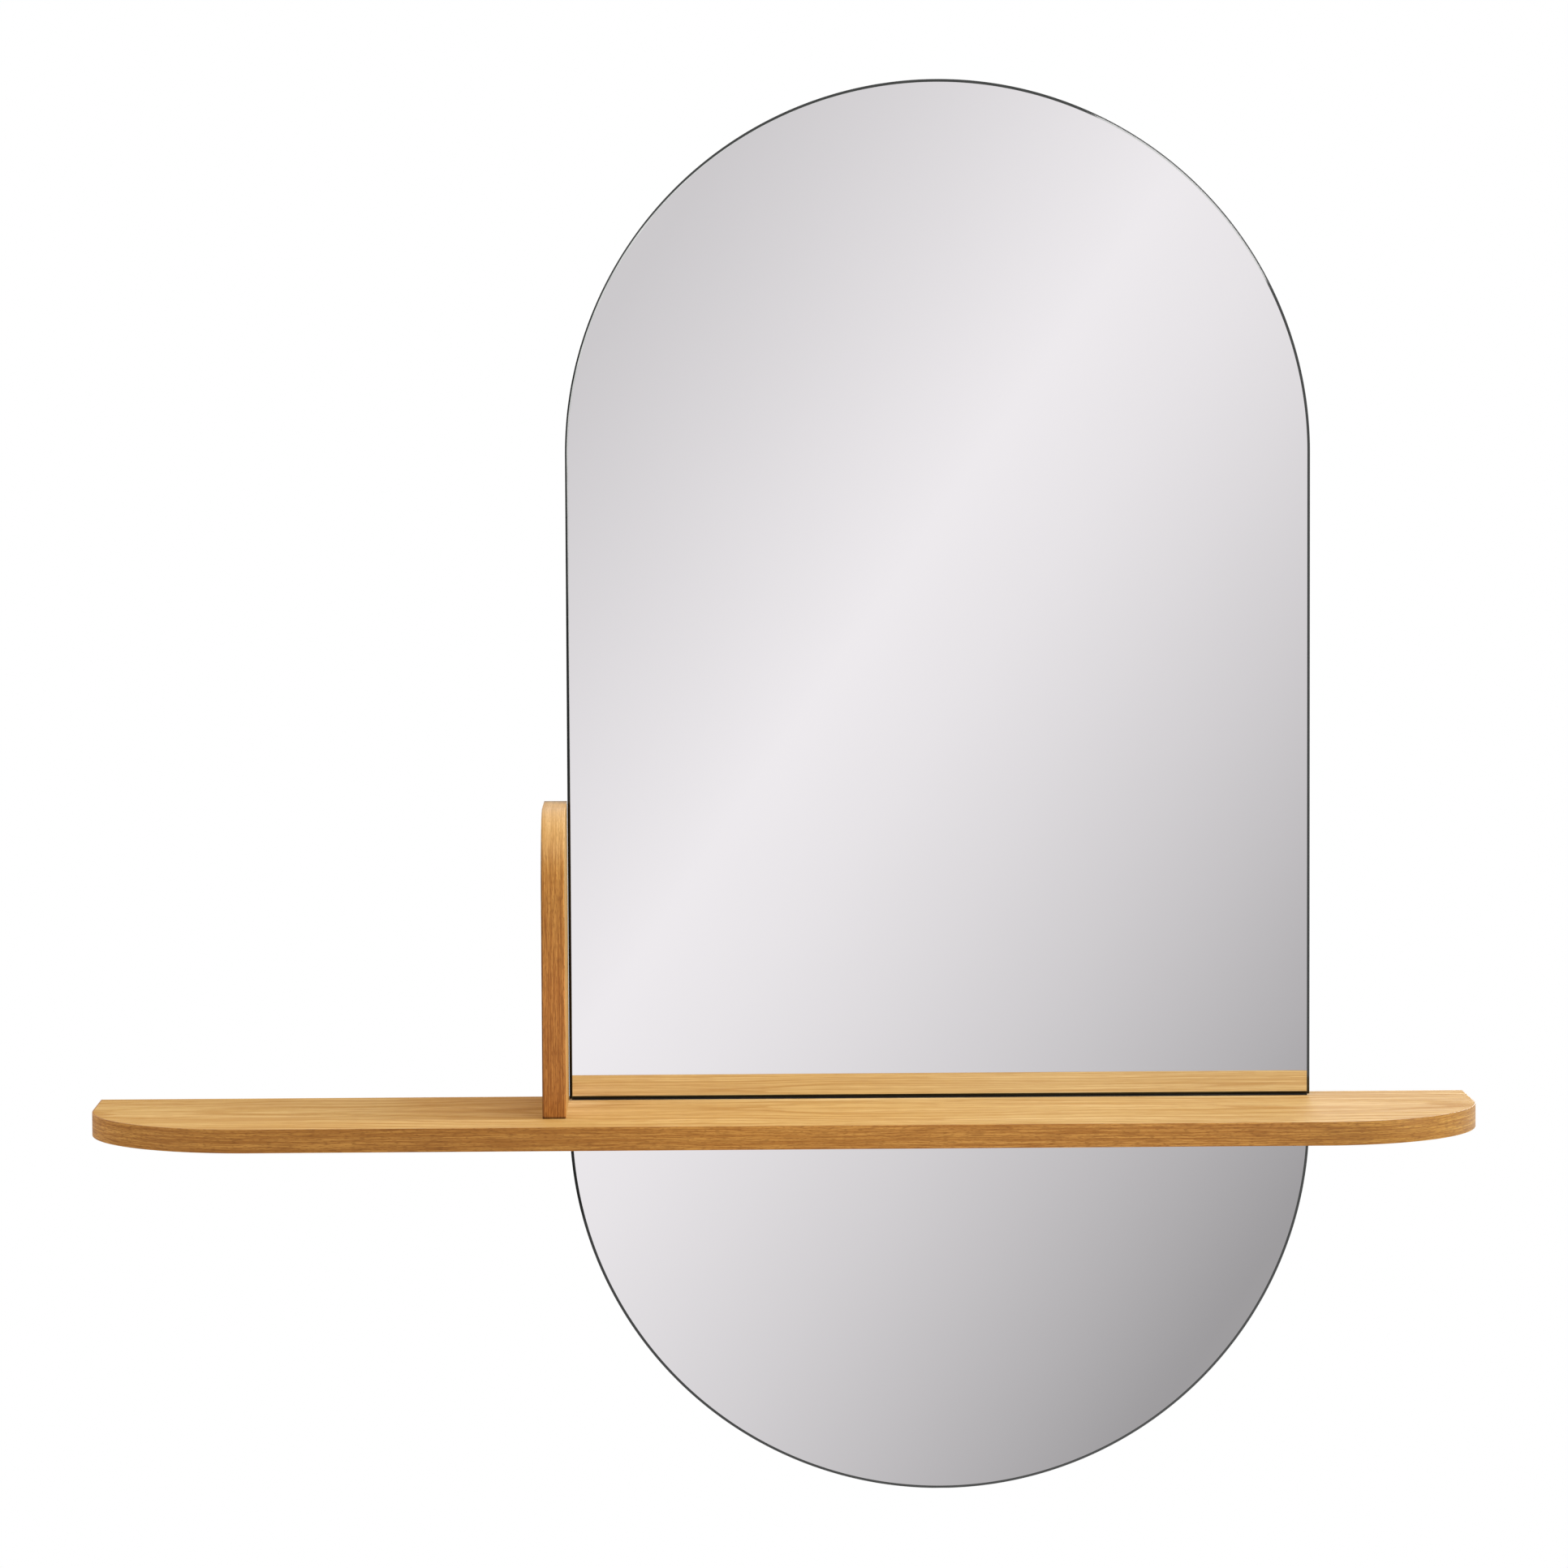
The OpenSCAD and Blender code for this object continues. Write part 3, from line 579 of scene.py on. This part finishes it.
def sweep_band(name, node, material, path, width, place, eased_start=0.0):
    """A band along path, a list of (place, direction outwards) in a plane. Place turns a point of that
    plane and a height across it into a point in space. Eased_start bevels the band's first end."""
    section = band_section(width / 2)
    lengths = [0.0]
    for (a, _), (b, _) in zip(path, path[1:]):
        lengths.append(lengths[-1] + math.dist(a, b))
    girth = [0.0]
    for a, b in zip(section, section[1:]):
        girth.append(girth[-1] + math.dist(a, b))
    bm = bmesh.new()
    uv = bm.loops.layers.uv.new("along")
    rings = []
    for i, (at, out) in enumerate(path):
        ease = eased_start if i == 0 else 0.0
        ring = []
        for depth, across in section:
            d = max(depth, ease)
            c = max(-width / 2 + ease, min(width / 2 - ease, across))
            ring.append(bm.verts.new(place((at[0] - out[0] * d, at[1] - out[1] * d), c)))
        rings.append(ring)
    count = len(section)
    for i in range(len(rings) - 1):
        for j in range(count):
            k = (j + 1) % count
            face = bm.faces.new((rings[i][j], rings[i][k], rings[i + 1][k], rings[i + 1][j]))
            across = (girth[j], girth[k] if k else girth[j] + width)
            spots = ((lengths[i], across[0]), (lengths[i], across[1]),
                     (lengths[i + 1], across[1]), (lengths[i + 1], across[0]))
            for loop, spot in zip(face.loops, spots):
                loop[uv].uv = spot
    for ring, along in ((rings[0], 0.0), (rings[-1], lengths[-1])):
        face = bm.faces.new(ring)
        for loop, (depth, across) in zip(face.loops, section):
            loop[uv].uv = (along + depth, across)
    bmesh.ops.recalc_face_normals(bm, faces=bm.faces)
    return add_piece(name, bm, [material], "oak_edge", node)


SHELF_CORNER = 134 * MM
UPRIGHT_CORNER = 68 * MM
FOOT_BEVEL = 0.8 * MM


def shelf_band(material):
    low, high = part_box("shelf_edge_band")
    left, right, front, back = low[0], high[0], low[1], high[1]
    middle_z = (low[2] + high[2]) / 2
    r = SHELF_CORNER
    path = [((left, back), (-1, 0))]
    path += corner((left + r, front + r), r, 180, 270)
    path += corner((right - r, front + r), r, 270, 360)
    path.append(((right, back), (1, 0)))
    return sweep_band("shelf_band", "shelf_edge_band", material, path, high[2] - low[2],
                      lambda at, across: (at[0], at[1], middle_z + across))


def upright_band(material):
    low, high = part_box("upright_edge_band")
    front, back, foot, top = low[1], high[1], low[2], high[2]
    middle_x = (low[0] + high[0]) / 2
    r = UPRIGHT_CORNER
    path = [((front, foot), (-1, 0)), ((front, foot + FOOT_BEVEL), (-1, 0))]
    path += corner((front + r, top - r), r, 180, 90)
    path.append(((back, top), (0, 1)))
    return sweep_band("upright_band", "upright_edge_band", material, path, high[0] - low[0],
                      lambda at, across: (middle_x + across, at[0], at[1]), eased_start=FOOT_BEVEL)


# ---------- The object ----------

def dress():
    silver, paint = mirror_face(), back_paint()
    arch_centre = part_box("upper_mirror_glass")[1][2] - GLASS_RADIUS
    upper_edge = glass_edge("glass_edge_upper", arch_centre)
    glass_piece("upper_mirror", "upper_mirror_glass", [silver, upper_edge, paint])
    glass_piece("lower_mirror", "lower_mirror_glass", [silver, glass_edge("glass_edge_lower"), paint])
    shelf_band(oak_edge("oak_edge_shelf", shelf_tone_and_painted_sheen))
    upright_band(oak_edge("oak_edge_upright", upright_tone_and_painted_light))

    shelf_oak = oak_face("oak_shelf", "X", "Y", -0.095, 0.01, top_tone_and_painted_light)
    left_oak = oak_face("oak_upright_left", "Z", "Y", -0.070, -0.62)
    right_oak = oak_face("oak_upright_right", "Z", "Y", -0.070, -0.62, right_side_painted_shade)
    board, steel, dowel = fibreboard(), zinc_steel(), beech()
    tape, bead = foam(), adhesive()
    finish = {
        "glass_seat_strip": rubber(), "backing_panel": black_panel(),
        "upper_foam_tapes": tape, "lower_foam_tapes": tape,
        "upper_adhesive_beads": bead, "lower_adhesive_beads": bead,
        "shelf_core": board, "upright_core": board,
        "shelf_top_veneer": shelf_oak, "shelf_bottom_veneer": shelf_oak,
        "upright_left_veneer": left_oak, "upright_right_veneer": right_oak,
        "shelf_screws": steel, "upright_screws": steel,
        "shelf_dowels": dowel, "upright_dowels": dowel, "upright_screw_caps": cap_plastic(),
        "panel_hanger_left": steel, "panel_hanger_right": steel, "panel_hanger_screws": steel,
        "wing_hanger_left": steel, "wing_hanger_right": steel, "wing_hanger_screws": steel,
    }
    for name, material in finish.items():
        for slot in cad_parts[name].material_slots:
            slot.material = material


# ---------- Camera, light and floor ----------

# The camera fit to the photo: millimetres, metres, and degrees of pan, tilt and roll
SENSOR_WIDTH, LENS = 36, 139.536
CAMERA_PLACE = (-0.21297, -4.92006, 0.00587)
PAN, TILT, ROLL = -1.02827, -3.87451, 0.28017


def add_camera():
    camera = bpy.data.objects.new("camera", bpy.data.cameras.new("camera"))
    bpy.context.scene.collection.objects.link(camera)
    camera.data.sensor_fit = "HORIZONTAL"
    camera.data.sensor_width = SENSOR_WIDTH
    camera.data.lens = LENS
    turn = Matrix.Identity(4)
    for degrees, axis in ((PAN, "Z"), (TILT, "X"), (ROLL, "Y"), (90, "X")):
        turn = turn @ Matrix.Rotation(math.radians(degrees), 4, axis)
    camera.matrix_world = Matrix.Translation(CAMERA_PLACE) @ turn
    bpy.context.scene.camera = camera


def add_softbox(name, place, aim, size, level):
    """Level is the light that reaches aim, where 1 shows a white surface facing it as white."""
    place, aim = Vector(place), Vector(aim)
    data = bpy.data.lights.new(name, "AREA")
    data.shape = "RECTANGLE"
    data.size, data.size_y = size
    data.energy = level * math.pi ** 2 * (aim - place).length_squared
    lamp = bpy.data.objects.new(name, data)
    bpy.context.scene.collection.objects.link(lamp)
    lamp.location = place
    lamp.rotation_euler = (aim - place).to_track_quat("-Z", "Y").to_euler()
    lamp.visible_camera = False
    return lamp


# Brightness of the surroundings as light, where they aren't seen
DOME = 0.72

# The reflected band of light: the direction across it, and the slopes at which its ramp starts and ends
ACROSS_X, ACROSS_Z = 0.823, -0.568
BAND_LEFT, BAND_RIGHT = -0.35, 0.35
BAND_STEPS = 6


def band_stops():
    """The band's light along the ramp: brightest at its peak, less to the left, and falling off to the
    right at a growing rate. The tint makes up for the mirror's own colour."""
    left_at, left = -0.014, 0.584
    peak_at, peak = 0.05, 0.823
    right_at, drop, power = 0.1635, 0.495, 1.25
    tint = (1.13, 1.108, 1.195)
    lights = [(left_at, left), (peak_at, peak)]
    for i in range(1, BAND_STEPS + 1):
        t = i / BAND_STEPS
        lights.append((peak_at + t * (right_at - peak_at), peak - drop * t ** power))

    # The studio on either side of the band
    before, after = [(0.0, 0.85), (0.22, 0.6)], [(0.8, 0.42), (1.0, 0.85)]
    stops = []
    for slope, light in lights:
        shade = tuple(light * c for c in tint) + (1,)
        stops.append(((slope - BAND_LEFT) / (BAND_RIGHT - BAND_LEFT), shade))
    return before + stops + after


BAND_SHADES = band_stops()


def add_world():
    """White where it is seen; softer as light. What the mirror reflects, in front of it, is a pale studio
    with a broad band of light across it, from the lower left to the upper right."""
    world = bpy.data.worlds.new("studio")
    bpy.context.scene.world = world
    world.use_nodes = True
    world.node_tree.nodes.clear()
    g = Graph(world.node_tree)
    rays = g.node("LightPath").outputs
    seen = g.math("MAXIMUM", rays["Is Camera Ray"],
                  g.math("MAXIMUM", rays["Is Glossy Ray"], rays["Is Transmission Ray"]))

    direction = g.node("SeparateXYZ", {0: g.node("TexCoord").outputs["Generated"]}).outputs
    ahead = g.math("MAXIMUM", g.math("MULTIPLY", direction[1], -1.0), 0.02)
    slope_x = g.math("DIVIDE", direction[0], ahead)
    slope_z = g.math("DIVIDE", direction[2], ahead)
    across = g.math("MULTIPLY_ADD", slope_x, ACROSS_X, g.math("MULTIPLY", slope_z, ACROSS_Z))
    shades = g.ramp(g.span(across, BAND_LEFT, BAND_RIGHT), BAND_SHADES)
    front = g.span(direction[1], -0.25, -0.1, 1.0, 0.0, smooth=True)

    # Behind the object, glossy surfaces see a darker patch low on the left
    low = g.span(direction[2], 0.25, 0.5, 1.0, 0.0, smooth=True)
    flag = g.math("MULTIPLY", low, g.span(direction[0], -0.5, 0.1, 0.7, 0.0))
    behind = g.math("SUBTRACT", 1.0, g.math("MULTIPLY", flag, rays["Is Glossy Ray"]))
    behind = g.combine(behind, behind, behind)
    reflected = g.mix(g.math("MULTIPLY", front, rays["Is Glossy Ray"]), behind, shades)
    color = g.mix(seen, (DOME, DOME, DOME, 1), reflected)
    background = g.node("Background", {0: color, 1: 1.0})
    output = g.node("OutputWorld")
    g.tree.links.new(background.outputs[0], output.inputs[0])


FLOOR_RADIUS = 3.2
FLOOR_PLACE = (-0.13, -0.3, -1.9)


def add_floor():
    s = Surface("floor")
    rays = s.node("LightPath").outputs
    grit = s.noise(s.place, 30, 3)
    s.set(color=s.mix(grit, (0.84, 0.84, 0.84, 1), (0.86, 0.86, 0.86, 1)), rough=0.9, specular=0.1)
    s.feed(s.shader.inputs["Emission Color"], (1, 1, 1, 1))
    s.feed(s.shader.inputs["Emission Strength"], s.math("MULTIPLY", rays["Is Camera Ray"], 0.2))
    bm = bmesh.new()
    bmesh.ops.create_circle(bm, cap_ends=True, segments=96, radius=FLOOR_RADIUS)
    mesh = bpy.data.meshes.new("floor")
    bm.to_mesh(mesh)
    bm.free()
    mesh.materials.append(s.material)
    floor = bpy.data.objects.new("floor", mesh)
    bpy.context.scene.collection.objects.link(floor)
    floor.location = FLOOR_PLACE


LAMPS_AIM = (-0.1, -0.1, -0.45)

# Name, place, size, level, and whether glossy surfaces show it
LAMPS = [
    ("key", (2.52, -0.08, 2.35), (0.7, 2.3), 0.36, True),
    ("side", (3.2, -1.3, 0.1), (1.4, 1.4), 0.2, True),
    ("top", (0.1, -0.9, 1.65), (2.2, 1.2), 0.36, True),
    ("back", (0.7, 2.3, -0.25), (0.9, 0.5), 0.17, True),
    ("fill", (0.75, -1.9, -0.3), (1.4, 1.4), 0.18, False),
    ("left", (-2.5, -0.6, 0.2), (1.2, 1.2), 0.15, False),
]


def add_studio():
    add_world()
    for name, place, size, level, glossy in LAMPS:
        add_softbox(name, place, LAMPS_AIM, size, level).visible_glossy = glossy
    add_floor()
    bpy.context.scene.view_settings.view_transform = "Standard"


add_camera()
dress()
add_studio()
